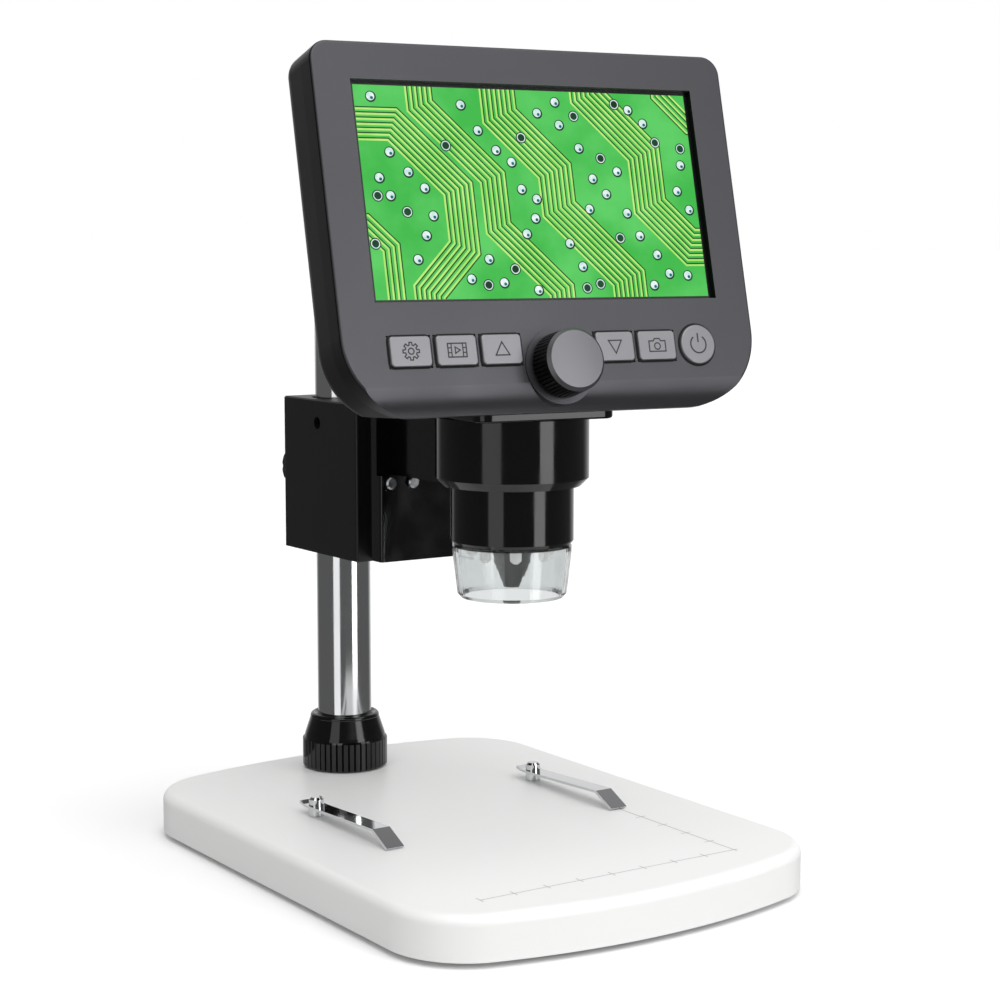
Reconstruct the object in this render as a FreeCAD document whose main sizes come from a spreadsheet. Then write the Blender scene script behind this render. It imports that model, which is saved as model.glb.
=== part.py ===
import FreeCAD, Part
import math
import os
import Sketcher

# A free-standing digital microscope: a flat stage with a chrome pole, a clamp that slides and turns on the
# pole, a ring that carries the lens barrel, and a tilted screen head on top of the barrel.
# Frame: millimetres, +Z up, origin on the desk under the middle of the base, -Y towards the user.

doc = FreeCAD.newDocument("digital_microscope")
sheet = doc.addObject("Spreadsheet::Sheet", "Dimensions")


class Size:
    """A number together with the formula that gives it from the sheet."""

    def __init__(self, value, formula):
        self.value = float(value)
        self.formula = formula

    def __float__(self):
        return self.value

    def __add__(self, other):
        return Size(self.value + float(other), "(%s + %s)" % (self.formula, formula_of(other)))

    def __radd__(self, other):
        return Size(float(other) + self.value, "(%s + %s)" % (formula_of(other), self.formula))

    def __sub__(self, other):
        return Size(self.value - float(other), "(%s - %s)" % (self.formula, formula_of(other)))

    def __rsub__(self, other):
        return Size(float(other) - self.value, "(%s - %s)" % (formula_of(other), self.formula))

    def __mul__(self, other):
        return Size(self.value * float(other), "(%s * %s)" % (self.formula, formula_of(other)))

    __rmul__ = __mul__

    def __truediv__(self, other):
        return Size(self.value / float(other), "(%s / %s)" % (self.formula, formula_of(other)))

    def __neg__(self):
        return Size(-self.value, "(0 - %s)" % self.formula)


def formula_of(number):
    if isinstance(number, Size):
        return number.formula
    return "%.6f" % float(number)


sheet_row = 0


def dimension(alias, value):
    """Put one driving dimension in the sheet and return it as a Size."""
    global sheet_row
    sheet_row += 1
    sheet.set("A%d" % sheet_row, alias)
    sheet.set("B%d" % sheet_row, str(value))
    sheet.setAlias("B%d" % sheet_row, alias)
    return Size(value, "Dimensions." + alias)


# Base
base_width = dimension("base_width", 122.0)
base_depth = dimension("base_depth", 174.0)
front_bow = dimension("front_bow", 11.5)
rear_bow = dimension("rear_bow", 10.5)
base_corner = dimension("base_corner", 22.0)
base_thickness = dimension("base_thickness", 11.4)
base_wall = dimension("base_wall", 2.4)
base_edge = dimension("base_edge", 2.6)
foot_height = dimension("foot_height", 1.4)
foot_radius = dimension("foot_radius", 5.5)
foot_x = dimension("foot_x", 47.0)
foot_y = dimension("foot_y", 62.0)
bottom_plate_thickness = dimension("bottom_plate_thickness", 1.8)
ballast_thickness = dimension("ballast_thickness", 3.0)

# Pole and collar
pole_y = dimension("pole_y", 67.7)
pole_radius = dimension("pole_radius", 8.0)
pole_bore = dimension("pole_bore", 6.4)
pole_height = dimension("pole_height", 150.0)
pole_seat = dimension("pole_seat", 7.0)
collar_radius = dimension("collar_radius", 12.6)
collar_rib_height = dimension("collar_rib_height", 8.8)
collar_shoulder = dimension("collar_shoulder", 12.0)
collar_top_radius = dimension("collar_top_radius", 9.7)
collar_height = dimension("collar_height", 16.0)
collar_ribs = 44

# Stage clips
clip_x = dimension("clip_x", 36.0)
clip_y = dimension("clip_y", 20.6)
clip_width = dimension("clip_width", 5.2)
clip_reach = dimension("clip_reach", 41.5)
clip_lift = dimension("clip_lift", 3.0)
clip_metal = dimension("clip_metal", 0.7)

# Clamp block on the pole
block_width = dimension("block_width", 24.0)
block_height = dimension("block_height", 44.8)
block_lift = dimension("block_lift", 65.7)
block_rear = dimension("block_rear", 14.1)
block_front = dimension("block_front", 28.7)
neck_front = dimension("neck_front", 37.1)
neck_width = dimension("neck_width", 15.0)
liner_radius = dimension("liner_radius", 9.0)
lock_lift = dimension("lock_lift", 88.7)
lock_knob_radius = dimension("lock_knob_radius", 9.0)
lock_stud_radius = dimension("lock_stud_radius", 2.5)
side_hole_lift = dimension("side_hole_lift", 103.7)

# Ring bracket in front of the clamp
plate_lift = dimension("plate_lift", 67.2)
plate_front = dimension("plate_front", 42.3)
plate_step_lift = dimension("plate_step_lift", 91.4)
plate_thin_front = dimension("plate_thin_front", 39.9)
arm_width = dimension("arm_width", 14.0)
ring_radius = dimension("ring_radius", 20.2)
ring_bore = dimension("ring_bore", 16.25)
ring_lift = dimension("ring_lift", 94.9)
ring_top_lift = dimension("ring_top_lift", 110.7)
ring_chamfer = dimension("ring_chamfer", 2.2)

# Barrel, cap and lights
reach = dimension("reach", 89.2)
barrel_radius = dimension("barrel_radius", 16.2)
barrel_wall = dimension("barrel_wall", 1.6)
barrel_lift = dimension("barrel_lift", 76.7)
cap_lift = dimension("cap_lift", 63.3)
cap_tip_radius = dimension("cap_tip_radius", 14.2)
cap_wall = dimension("cap_wall", 1.1)
flange_width = dimension("flange_width", 40.0)
flange_front = dimension("flange_front", 20.6)
flange_thickness = dimension("flange_thickness", 2.4)
flange_lift = dimension("flange_lift", 110.8)
led_circle = dimension("led_circle", 10.6)
led_radius = dimension("led_radius", 1.5)
cone_radius = dimension("cone_radius", 5.9)
cone_tip_radius = dimension("cone_tip_radius", 2.0)
cone_lift = dimension("cone_lift", 65.9)
led_count = 8

# Screen head, in its own tilted frame: the screen's middle is its origin
head_yaw = dimension("head_yaw", -6.4)
head_tilt = dimension("head_tilt", 14.4)
head_forward = dimension("head_forward", 13.0)
head_lift = dimension("head_lift", 167.9)
screen_width = dimension("screen_width", 95.0)
screen_height = dimension("screen_height", 53.9)
screen_recess = dimension("screen_recess", 1.7)
head_half_width = dimension("head_half_width", 58.7)
head_top = dimension("head_top", 37.5)
head_bottom = dimension("head_bottom", 55.6)
head_top_corner = dimension("head_top_corner", 5.0)
head_bottom_corner = dimension("head_bottom_corner", 19.0)
seam_depth = dimension("seam_depth", 4.4)
head_depth = dimension("head_depth", 17.5)
head_wall = dimension("head_wall", 2.0)
roll_start = dimension("roll_start", 45.5)
roll_depth = dimension("roll_depth", 4.6)
window_width = dimension("window_width", 97.4)
window_height = dimension("window_height", 55.8)
key_row = dimension("key_row", 40.2)
key_pitch = dimension("key_pitch", 12.4)
key_width = dimension("key_width", 11.7)
key_height = dimension("key_height", 8.2)
key_gap = dimension("key_gap", 0.35)
key_proud = dimension("key_proud", 0.9)
key_travel = dimension("key_travel", 0.6)
power_radius = dimension("power_radius", 5.5)
knob_drop = dimension("knob_drop", 44.7)
knob_radius = dimension("knob_radius", 8.3)
knob_face_radius = dimension("knob_face_radius", 7.2)
knob_reach = dimension("knob_reach", 10.7)
knob_ribs = 48
boss_radius = dimension("boss_radius", 9.8)

# Focus drive inside the barrel
gear_module = dimension("gear_module", 0.6)
pinion_teeth = 12
pinion_forward = dimension("pinion_forward", 11.5)

doc.recompute()

base_top = foot_height + base_thickness
barrel_y = pole_y - reach
clip_post_radius = 1.9


def set_number(owner, name, number):
    """Set a property, and bind it to the sheet when the number comes from there."""
    setattr(owner, name, float(number))
    if isinstance(number, Size):
        owner.setExpression(name, number.formula)


def new_body(label, x=0.0, y=0.0, z=0.0, rotation=None):
    """Start a sub-part whose own origin sits at x, y, z."""
    body = doc.addObject("PartDesign::Body", label)
    body.Label = label
    place(body, x, y, z, rotation)
    return body


def place(item, x, y, z, rotation=None):
    turn = rotation or FreeCAD.Rotation()
    item.Placement = FreeCAD.Placement(FreeCAD.Vector(float(x), float(y), float(z)), turn)
    for axis, number in (("x", x), ("y", y), ("z", z)):
        if isinstance(number, Size):
            item.setExpression("Placement.Base." + axis, number.formula)


def new_sketch(body, role, offset=0.0):
    """A sketch on one of the body's own origin planes, moved along the plane's normal."""
    sketch = body.newObject("Sketcher::SketchObject", body.Label + "_sketch")
    plane = [item for item in body.Origin.OriginFeatures if item.Role == role][0]
    sketch.AttachmentSupport = (plane, [""])
    sketch.MapMode = "FlatFace"
    sketch.AttachmentOffset = FreeCAD.Placement(FreeCAD.Vector(0, 0, float(offset)), FreeCAD.Rotation())
    if isinstance(offset, Size):
        sketch.setExpression("AttachmentOffset.Base.z", offset.formula)
    return sketch


def pin_value(sketch, kind, geometry, corner, number):
    """Hold one coordinate of a point, or a radius, at a number."""
    if kind == "Radius":
        constraint = Sketcher.Constraint(kind, geometry, float(number))
    else:
        constraint = Sketcher.Constraint(kind, -1, 1, geometry, corner, float(number))
    index = sketch.addConstraint(constraint)
    if isinstance(number, Size):
        sketch.setExpression("Constraints[%d]" % index, number.formula)


def draw_circle(sketch, x, y, radius):
    middle = FreeCAD.Vector(float(x), float(y), 0)
    circle = Part.Circle(middle, FreeCAD.Vector(0, 0, 1), float(radius))
    index = sketch.addGeometry(circle, False)
    pin_value(sketch, "Radius", index, 0, radius)
    pin_value(sketch, "DistanceX", index, 3, x)
    pin_value(sketch, "DistanceY", index, 3, y)


def draw_outline(sketch, points):
    """Draw a closed outline. A point is (x, y), or (x, y, mid x, mid y) when an arc leads to it."""
    count = len(points)
    ends = []
    for index in range(count):
        start = FreeCAD.Vector(float(points[index - 1][0]), float(points[index - 1][1]), 0)
        end = FreeCAD.Vector(float(points[index][0]), float(points[index][1]), 0)
        if len(points[index]) == 4:
            middle = FreeCAD.Vector(float(points[index][2]), float(points[index][3]), 0)
            geometry = sketch.addGeometry(Part.Arc(start, middle, end), False)
            radius = sketch.Geometry[geometry].Radius
        else:
            geometry = sketch.addGeometry(Part.LineSegment(start, end), False)
            radius = None
        first = 1 if sketch.getPoint(geometry, 1).distanceToPoint(start) < 1e-6 else 2
        ends.append((geometry, first, 3 - first, radius))
    for index in range(count):
        geometry, first, last, radius = ends[index]
        following = ends[(index + 1) % count]
        sketch.addConstraint(Sketcher.Constraint("Coincident", geometry, last, following[0], following[1]))
        pin_value(sketch, "DistanceX", geometry, last, points[index][0])
        pin_value(sketch, "DistanceY", geometry, last, points[index][1])
        if radius is not None:
            sketch.addConstraint(Sketcher.Constraint("Radius", geometry, radius))


def draw_box(sketch, left, bottom, right, top):
    draw_outline(sketch, [(left, bottom), (right, bottom), (right, top), (left, top)])


def pad(body, sketch, length, symmetric=False, reverse=False):
    feature = body.newObject("PartDesign::Pad", body.Label + "_pad")
    feature.Profile = sketch
    set_number(feature, "Length", length)
    feature.Midplane = symmetric
    feature.Reversed = reverse
    sketch.Visibility = False
    doc.recompute()
    return feature


def revolve(body, sketch, axis="V_Axis"):
    feature = body.newObject("PartDesign::Revolution", body.Label + "_revolution")
    feature.Profile = sketch
    feature.ReferenceAxis = (sketch, [axis])
    feature.Angle = 360.0
    doc.recompute()
    return feature


def pocket(body, sketch, length=None, symmetric=False, reverse=False):
    """Cut a sketch out of a body, and stop if the cut takes nothing away."""
    before = body.Shape.Volume
    feature = body.newObject("PartDesign::Pocket", body.Label + "_pocket")
    feature.Profile = sketch
    if length is None:
        feature.Type = "ThroughAll"
    else:
        set_number(feature, "Length", length)
    feature.Midplane = symmetric
    feature.Reversed = reverse
    doc.recompute()
    if body.Shape.Volume > before - 1e-6:
        raise RuntimeError("the pocket in %s cuts nothing" % body.Label)
    return feature


def edge_names(feature, test):
    return ["Edge%d" % (index + 1) for index, edge in enumerate(feature.Shape.Edges) if test(edge)]


def fillet(body, radius, test):
    base = body.Tip
    feature = body.newObject("PartDesign::Fillet", body.Label + "_fillet")
    feature.Base = (base, edge_names(base, test))
    set_number(feature, "Radius", radius)
    doc.recompute()
    return feature


def chamfer(body, size, test):
    base = body.Tip
    feature = body.newObject("PartDesign::Chamfer", body.Label + "_chamfer")
    feature.Base = (base, edge_names(base, test))
    set_number(feature, "Size", size)
    doc.recompute()
    return feature


def polar(body, feature, axis_role, count):
    pattern = body.newObject("PartDesign::PolarPattern", body.Label + "_pattern")
    pattern.Originals = [feature]
    axis = [item for item in body.Origin.OriginFeatures if item.Role == axis_role][0]
    pattern.Axis = (axis, [""])
    pattern.Angle = 360.0
    pattern.Occurrences = count
    body.Tip = pattern
    doc.recompute()
    return pattern


def upright(edge):
    """True for a straight edge along Z."""
    first, last = edge.Vertexes[0].Point, edge.Vertexes[-1].Point
    return abs(first.x - last.x) < 1e-4 and abs(first.y - last.y) < 1e-4 and abs(first.z - last.z) > 0.1


def at_height(height):
    """A test for edges that lie flat at a height."""
    level = float(height)
    return lambda edge: all(abs(vertex.Point.z - level) < 1e-4 for vertex in edge.Vertexes)


def along_depth(edge):
    """True for a straight edge along Y."""
    first, last = edge.Vertexes[0].Point, edge.Vertexes[-1].Point
    return abs(first.x - last.x) < 1e-4 and abs(first.z - last.z) < 1e-4 and abs(first.y - last.y) > 0.1


def at_depth(depth):
    """A test for edges that lie in a plane square to Y."""
    level = float(depth)
    return lambda edge: all(abs(vertex.Point.y - level) < 1e-4 for vertex in edge.Vertexes)


parts = []


def keep(item):
    parts.append(item)
    return item



# Base shell: a shallow tray with bowed ends, open below
def bowed_outline(sketch, inset=0.0):
    """The base's plan, drawn in from its edge by inset. Front and rear edges bow outwards."""
    half = base_width / 2 - inset
    front = -(base_depth / 2) + inset
    rear = base_depth / 2 - inset
    draw_outline(sketch, [(half, front + front_bow, 0, front),
                          (half, rear - rear_bow),
                          (-half, rear - rear_bow, 0, rear),
                          (-half, front + front_bow)])


def hollow_outline(sketch, inset):
    """The bowed outline drawn in by inset, with its corners cut off inside the rounded ones."""
    half = base_width / 2 - inset
    cut = base_corner * 0.75
    side_x = half - cut
    front = -(base_depth / 2) + inset
    rear = base_depth / 2 - inset
    front_y = front + front_bow * 0.66
    rear_y = rear - rear_bow * 0.66
    draw_outline(sketch, [(side_x, front_y, 0, front), (half, front_y + cut), (half, rear_y - cut),
                          (side_x, rear_y), (-side_x, rear_y, 0, rear), (-half, rear_y - cut),
                          (-half, front_y + cut), (-side_x, front_y)])


def base_shell():
    body = new_body("base_shell", z=foot_height)
    outline = new_sketch(body, "XY_Plane")
    bowed_outline(outline)
    pad(body, outline, base_thickness)
    fillet(body, base_corner, upright)
    fillet(body, base_edge, at_height(base_thickness))
    hollow = new_sketch(body, "XY_Plane")
    hollow_outline(hollow, base_wall)
    pocket(body, hollow, base_thickness - base_wall, reverse=True)
    bosses = new_sketch(body, "XY_Plane", bottom_plate_thickness + 0.2)
    draw_circle(bosses, 0, pole_y, 15.0)
    for side in (-1, 1):
        draw_circle(bosses, side * clip_x, clip_y, 4.0)
        for end in (-1, 1):
            draw_circle(bosses, side * (foot_x - 10), end * foot_y, 3.5)
    pad(body, bosses, base_thickness - bottom_plate_thickness - 1.2)
    spigot = new_sketch(body, "XY_Plane", base_thickness)
    draw_circle(spigot, 0, pole_y, 10.4)
    pad(body, spigot, 7.0)
    seat = new_sketch(body, "XY_Plane", base_thickness + 8.0)
    draw_circle(seat, 0, pole_y, pole_radius)
    pocket(body, seat, pole_seat + 8.0)
    stud_hole = new_sketch(body, "XY_Plane")
    draw_circle(stud_hole, 0, pole_y, 3.2)
    for side in (-1, 1):
        draw_circle(stud_hole, side * clip_x, clip_y, clip_post_radius - 0.35)
    pocket(body, stud_hole, base_thickness + 1.0, reverse=True)
    screw_holes = new_sketch(body, "XY_Plane")
    for side in (-1, 1):
        for end in (-1, 1):
            draw_circle(screw_holes, side * (foot_x - 10), end * foot_y, 1.25)
    pocket(body, screw_holes, base_thickness - 3.0, reverse=True)
    return body


def base_bottom_plate():
    body = new_body("base_bottom_plate", z=foot_height)
    outline = new_sketch(body, "XY_Plane")
    hollow_outline(outline, base_wall + 0.2)
    pad(body, outline, bottom_plate_thickness)
    holes = new_sketch(body, "XY_Plane")
    draw_circle(holes, 0, pole_y, 7.5)
    for side in (-1, 1):
        for end in (-1, 1):
            draw_circle(holes, side * (foot_x - 10), end * foot_y, 1.6)
    pocket(body, holes, bottom_plate_thickness, reverse=True)
    sinks = new_sketch(body, "XY_Plane")
    for side in (-1, 1):
        for end in (-1, 1):
            draw_circle(sinks, side * foot_x, end * foot_y, foot_radius)
    pocket(body, sinks, 0.6, reverse=True)
    return body


def ballast_plate():
    body = new_body("ballast_plate", z=foot_height + bottom_plate_thickness)
    outline = new_sketch(body, "XY_Plane")
    draw_box(outline, -28.0, -60.0, 28.0, 44.0)
    pad(body, outline, ballast_thickness)
    chamfer(body, 6.0, upright)
    return body


def rubber_feet():
    body = new_body("rubber_feet")
    outline = new_sketch(body, "XY_Plane")
    for side in (-1, 1):
        for end in (-1, 1):
            draw_circle(outline, side * foot_x, end * foot_y, foot_radius - 0.1)
    pad(body, outline, foot_height + 0.6)
    chamfer(body, 0.5, at_height(0.0))
    return body


def screws(label, places, shank_radius, head_radius, head_height, length, rotation=None, origin=(0, 0, 0)):
    """Pan-head screws that stand along +Z of their frame, heads at the low end."""
    body = new_body(label, origin[0], origin[1], origin[2], rotation)
    heads = new_sketch(body, "XY_Plane")
    shanks = new_sketch(body, "XY_Plane")
    for x, y in places:
        draw_circle(heads, x, y, head_radius)
        draw_circle(shanks, x, y, shank_radius)
    pad(body, heads, head_height, reverse=True)
    pad(body, shanks, length)
    chamfer(body, head_height * 0.4, at_height(-head_height))
    return body


base_corners = [(side * (float(foot_x) - 10), end * float(foot_y)) for side in (-1, 1) for end in (-1, 1)]

keep(base_shell())
keep(base_bottom_plate())
keep(ballast_plate())
keep(rubber_feet())
keep(screws("base_screws", base_corners, 1.2, 2.6, 1.2, 6.0, origin=(0, 0, foot_height)))


# Pole, its bolt, end cap and the ribbed collar at its foot
def pole():
    body = new_body("pole", y=pole_y, z=base_top - pole_seat)
    outer = new_sketch(body, "XY_Plane")
    draw_circle(outer, 0, 0, pole_radius - 0.02)
    pad(body, outer, pole_height + pole_seat)
    bore = new_sketch(body, "XY_Plane", 14.0)
    draw_circle(bore, 0, 0, pole_bore)
    pocket(body, bore, reverse=True)
    thread = new_sketch(body, "XY_Plane")
    draw_circle(thread, 0, 0, 3.0)
    pocket(body, thread, 12.0, reverse=True)
    chamfer(body, 0.5, at_height(pole_height + pole_seat))
    return body


def pole_cap():
    body = new_body("pole_cap", y=pole_y, z=base_top + pole_height)
    profile = new_sketch(body, "XZ_Plane")
    draw_outline(profile, [(0, -8.0), (pole_bore - 0.1, -8.0), (pole_bore - 0.1, 0), (pole_radius - 0.1, 0),
                           (pole_radius - 0.1, 1.2), (1.5, 2.6, 5.0, 2.2), (0, 2.6)])
    revolve(body, profile)
    return body


def pole_bolt():
    body = new_body("pole_bolt", y=pole_y, z=foot_height)
    profile = new_sketch(body, "XZ_Plane")
    draw_outline(profile, [(0, 0.2), (5.6, 0.2), (5.6, 1.9), (2.95, 1.9), (2.95, 14.0), (0, 14.0)])
    revolve(body, profile)
    socket = new_sketch(body, "XY_Plane")
    draw_circle(socket, 0, 0, 2.4)
    pocket(body, socket, 1.4, reverse=True)
    return body


def pole_collar():
    """Ribbed nut under a glossy cone, hollow below to clear the base's spigot."""
    body = new_body("pole_collar", y=pole_y, z=base_top + 0.3)
    profile = new_sketch(body, "XZ_Plane")
    draw_outline(profile, [(10.7, 0), (collar_radius - 0.5, 0), (collar_radius, 0.5),
                           (collar_radius, collar_rib_height - 0.5), (collar_radius - 0.4, collar_rib_height),
                           (collar_shoulder, collar_rib_height), (collar_shoulder - 0.1, collar_rib_height + 0.9),
                           (collar_top_radius + 0.5, collar_height - 1.2),
                           (collar_top_radius - 0.6, collar_height, collar_top_radius + 0.3, collar_height - 0.3),
                           (pole_radius + 0.08, collar_height - 0.6),
                           (pole_radius + 0.08, 8.2), (10.7, 8.2)])
    revolve(body, profile)
    groove = new_sketch(body, "XY_Plane")
    draw_outline(groove, [(collar_radius - 0.45, 0), (collar_radius + 0.5, -0.62), (collar_radius + 0.5, 0.62)])
    cut = pocket(body, groove, collar_rib_height, reverse=True)
    polar(body, cut, "Z_Axis", collar_ribs)
    return body


keep(pole())
keep(pole_cap())
keep(pole_bolt())
keep(pole_collar())


# Spring clips that hold a slide on the stage
def clip_strip(label, x):
    """Bent spring strip: a short tail, a straight run and a nose bent down to the stage."""
    body = new_body(label, x, clip_y, base_top)
    profile = new_sketch(body, "YZ_Plane")
    low = clip_lift - clip_metal
    bend = -(clip_reach - 7.5)
    rise = clip_lift + 1.3
    draw_outline(profile, [(4.8, low + 0.5), (2.4, low), (-2.4, low), (bend, rise - clip_metal),
                           (-clip_reach + 0.4, 0.15), (-clip_reach - 0.3, 0.75), (bend - 0.5, rise),
                           (-2.4, clip_lift), (2.4, clip_lift), (4.8, clip_lift + 0.5)])
    pad(body, profile, clip_width, symmetric=True)
    hole = new_sketch(body, "XY_Plane")
    draw_circle(hole, 0, 0, clip_post_radius - 0.35)
    pocket(body, hole, clip_lift + 2.0, reverse=True)
    return body


def clip_post(label, x):
    """Turned post that pins the strip to the stage."""
    body = new_body(label, x, clip_y, base_top)
    profile = new_sketch(body, "XZ_Plane")
    shank = clip_post_radius - 0.4
    low = clip_lift - clip_metal - 0.02
    draw_outline(profile, [(0, -8.0), (shank, -8.0), (shank, 0.1), (clip_post_radius + 0.3, 0.1),
                           (clip_post_radius + 0.3, low), (shank, low), (shank, clip_lift + 0.02),
                           (clip_post_radius + 0.2, clip_lift + 0.02), (clip_post_radius + 0.2, clip_lift + 1.6),
                           (clip_post_radius - 0.4, clip_lift + 2.2), (0, clip_lift + 2.2)])
    revolve(body, profile)
    return body


for side_name, side in (("left", -1), ("right", 1)):
    keep(clip_strip("clip_strip_" + side_name, side * clip_x))
    keep(clip_post("clip_post_" + side_name, side * clip_x))


# Clamp: a liner that slides on the pole, the block that turns round it, and the lock screw behind
def clamp_liner():
    body = new_body("clamp_liner", y=pole_y, z=base_top + block_lift + 0.6)
    wall = new_sketch(body, "XY_Plane")
    draw_circle(wall, 0, 0, liner_radius)
    draw_circle(wall, 0, 0, pole_radius + 0.04)
    pad(body, wall, block_height - 1.2)
    return body


def clamp_block():
    body = new_body("clamp_block", y=pole_y, z=base_top + block_lift)
    outline = new_sketch(body, "XY_Plane")
    draw_outline(outline, [(block_width / 2, -block_front), (block_width / 2, block_rear),
                           (-block_width / 2, block_rear), (-block_width / 2, -block_front)])
    pad(body, outline, block_height)
    fillet(body, 0.8, upright)
    chamfer(body, 0.4, at_height(block_height))
    bore = new_sketch(body, "XY_Plane")
    draw_circle(bore, 0, 0, liner_radius + 0.04)
    pocket(body, bore, reverse=True)
    stud = new_sketch(body, "XZ_Plane", -(block_rear + 1))
    draw_circle(stud, 0, lock_lift - block_lift, lock_stud_radius + 0.3)
    pocket(body, stud, block_rear - liner_radius + 2, reverse=True)
    side_hole = new_sketch(body, "YZ_Plane", -(block_width / 2))
    draw_circle(side_hole, -6.3, side_hole_lift - block_lift, 1.8)
    pocket(body, side_hole, 5.0, reverse=True)
    return body


def bracket_neck():
    body = new_body("bracket_neck", y=pole_y, z=base_top + block_lift + 1.0)
    outline = new_sketch(body, "XY_Plane")
    draw_box(outline, -neck_width / 2, -neck_front, neck_width / 2, -block_front)
    pad(body, outline, block_height - 2.0)
    return body


def lock_pad():
    body = new_body("lock_pad", y=pole_y, z=base_top + lock_lift)
    face = new_sketch(body, "XZ_Plane", -(liner_radius + 0.05))
    draw_circle(face, 0, 0, lock_stud_radius)
    pad(body, face, 1.2, reverse=True)
    return body


def lock_stud():
    body = new_body("lock_stud", y=pole_y, z=base_top + lock_lift)
    face = new_sketch(body, "XZ_Plane", -(liner_radius + 1.3))
    draw_circle(face, 0, 0, lock_stud_radius)
    pad(body, face, 10.0, reverse=True)
    return body


def lock_knob():
    """Fluted thumb knob pressed on the stud."""
    body = new_body("lock_knob", y=pole_y, z=base_top + lock_lift)
    disc = new_sketch(body, "XZ_Plane", -(block_rear + 2.2))
    draw_circle(disc, 0, 0, lock_knob_radius)
    pad(body, disc, 5.4, reverse=True)
    collar = new_sketch(body, "XZ_Plane", -(block_rear + 0.6))
    draw_circle(collar, 0, 0, 5.0)
    pad(body, collar, 1.7, reverse=True)
    fillet(body, 1.0, at_depth(block_rear + 7.6))
    flute = new_sketch(body, "XZ_Plane", -(block_rear + 2.2))
    draw_circle(flute, lock_knob_radius + 0.9, 0, 1.5)
    cut = pocket(body, flute, 5.4)
    polar(body, cut, "Y_Axis", 12)
    seat = new_sketch(body, "XZ_Plane", -(block_rear + 0.5))
    draw_circle(seat, 0, 0, lock_stud_radius)
    pocket(body, seat, liner_radius + 11.3 - block_rear - 0.5)
    return body


keep(clamp_liner())
keep(clamp_block())
keep(bracket_neck())
keep(lock_pad())
keep(lock_stud())
keep(lock_knob())


# Ring bracket: plate on the neck, arm, and the ring that the barrel turns in
def ring_bracket():
    body = new_body("ring_bracket", y=pole_y, z=base_top)
    lower = new_sketch(body, "XY_Plane", plate_lift)
    draw_box(lower, -block_width / 2, -plate_front, block_width / 2, -neck_front)
    pad(body, lower, plate_step_lift - plate_lift)
    fillet(body, 1.0, lambda edge: upright(edge) and edge.Vertexes[0].Point.y < -40)
    upper = new_sketch(body, "XY_Plane", plate_lift)
    draw_box(upper, -block_width / 2, -plate_thin_front, block_width / 2, -neck_front)
    pad(body, upper, ring_top_lift - plate_lift)
    arm = new_sketch(body, "XY_Plane", plate_step_lift)
    draw_box(arm, -arm_width / 2, -(reach - 18.0), arm_width / 2, -neck_front - 1.0)
    pad(body, arm, ring_top_lift - plate_step_lift)
    ring = new_sketch(body, "XY_Plane", ring_lift)
    draw_circle(ring, 0, -reach, ring_radius)
    pad(body, ring, ring_top_lift - ring_lift)
    lip = new_sketch(body, "XY_Plane", ring_lift)
    draw_circle(lip, 0, -reach, ring_radius)
    pad(body, lip, ring_chamfer, reverse=True)
    chamfer(body, ring_chamfer - 0.05, lambda edge: at_height(ring_lift - ring_chamfer)(edge)
            and len(edge.Vertexes) <= 2 and hasattr(edge.Curve, "Radius"))
    bore = new_sketch(body, "XY_Plane", plate_lift)
    draw_circle(bore, 0, -reach, ring_bore)
    pocket(body, bore, reverse=True)
    boss = new_sketch(body, "XZ_Plane", plate_front)
    draw_circle(boss, -9.2, lock_lift + 0.6, 2.4)
    draw_circle(boss, -1.9, lock_lift + 0.6, 1.9)
    pad(body, boss, 0.5)
    holes = new_sketch(body, "XZ_Plane", plate_front + 1.0)
    draw_circle(holes, -9.2, lock_lift + 0.6, 1.05)
    draw_circle(holes, -1.9, lock_lift + 0.6, 1.05)
    pocket(body, holes, 5.1)
    return body


keep(ring_bracket())
keep(screws("bracket_screws", [(-9.2, 0.0), (-1.9, 0.0)], 1.0, 1.7, 1.0, 4.0,
            FreeCAD.Rotation(FreeCAD.Vector(1, 0, 0), -90),
            (0, pole_y - plate_front - 0.5, base_top + lock_lift + 0.6)))

# Barrel hung through the ring, with its flange, cap, lights and lens
yaw_turn = FreeCAD.Rotation(FreeCAD.Vector(0, 0, 1), float(head_yaw))


def barrel_sleeve():
    body = new_body("barrel_sleeve", 0, barrel_y, base_top)
    profile = new_sketch(body, "XZ_Plane")
    inner = barrel_radius - barrel_wall
    draw_outline(profile, [(inner, barrel_lift), (barrel_radius - 1.2, barrel_lift),
                           (barrel_radius, barrel_lift + 1.6), (barrel_radius, flange_lift), (inner, flange_lift)])
    revolve(body, profile)
    return body


def flange_plate():
    body = new_body("flange_plate", 0, barrel_y, base_top + flange_lift, yaw_turn)
    outline = new_sketch(body, "XY_Plane")
    draw_box(outline, -flange_width / 2, -flange_front, flange_width / 2, flange_front)
    pad(body, outline, flange_thickness)
    fillet(body, 4.0, upright)
    fillet(body, 0.7, at_height(0.0))
    bore = new_sketch(body, "XY_Plane")
    draw_circle(bore, 0, 0, barrel_radius - barrel_wall)
    pocket(body, bore, reverse=True)
    return body


def clear_cap():
    """Tapered clear skirt, open at both ends."""
    body = new_body("clear_cap", 0, barrel_y, base_top)
    profile = new_sketch(body, "XZ_Plane")
    top = barrel_radius - 0.1
    draw_outline(profile, [(cap_tip_radius - cap_wall, cap_lift), (cap_tip_radius - 0.6, cap_lift),
                           (cap_tip_radius + 0.2, cap_lift + 1.0),
                           (top - 0.4, barrel_lift - 1.6), (top - 0.4, barrel_lift),
                           (top - 0.4 - cap_wall, barrel_lift)])
    revolve(body, profile)
    return body


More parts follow.
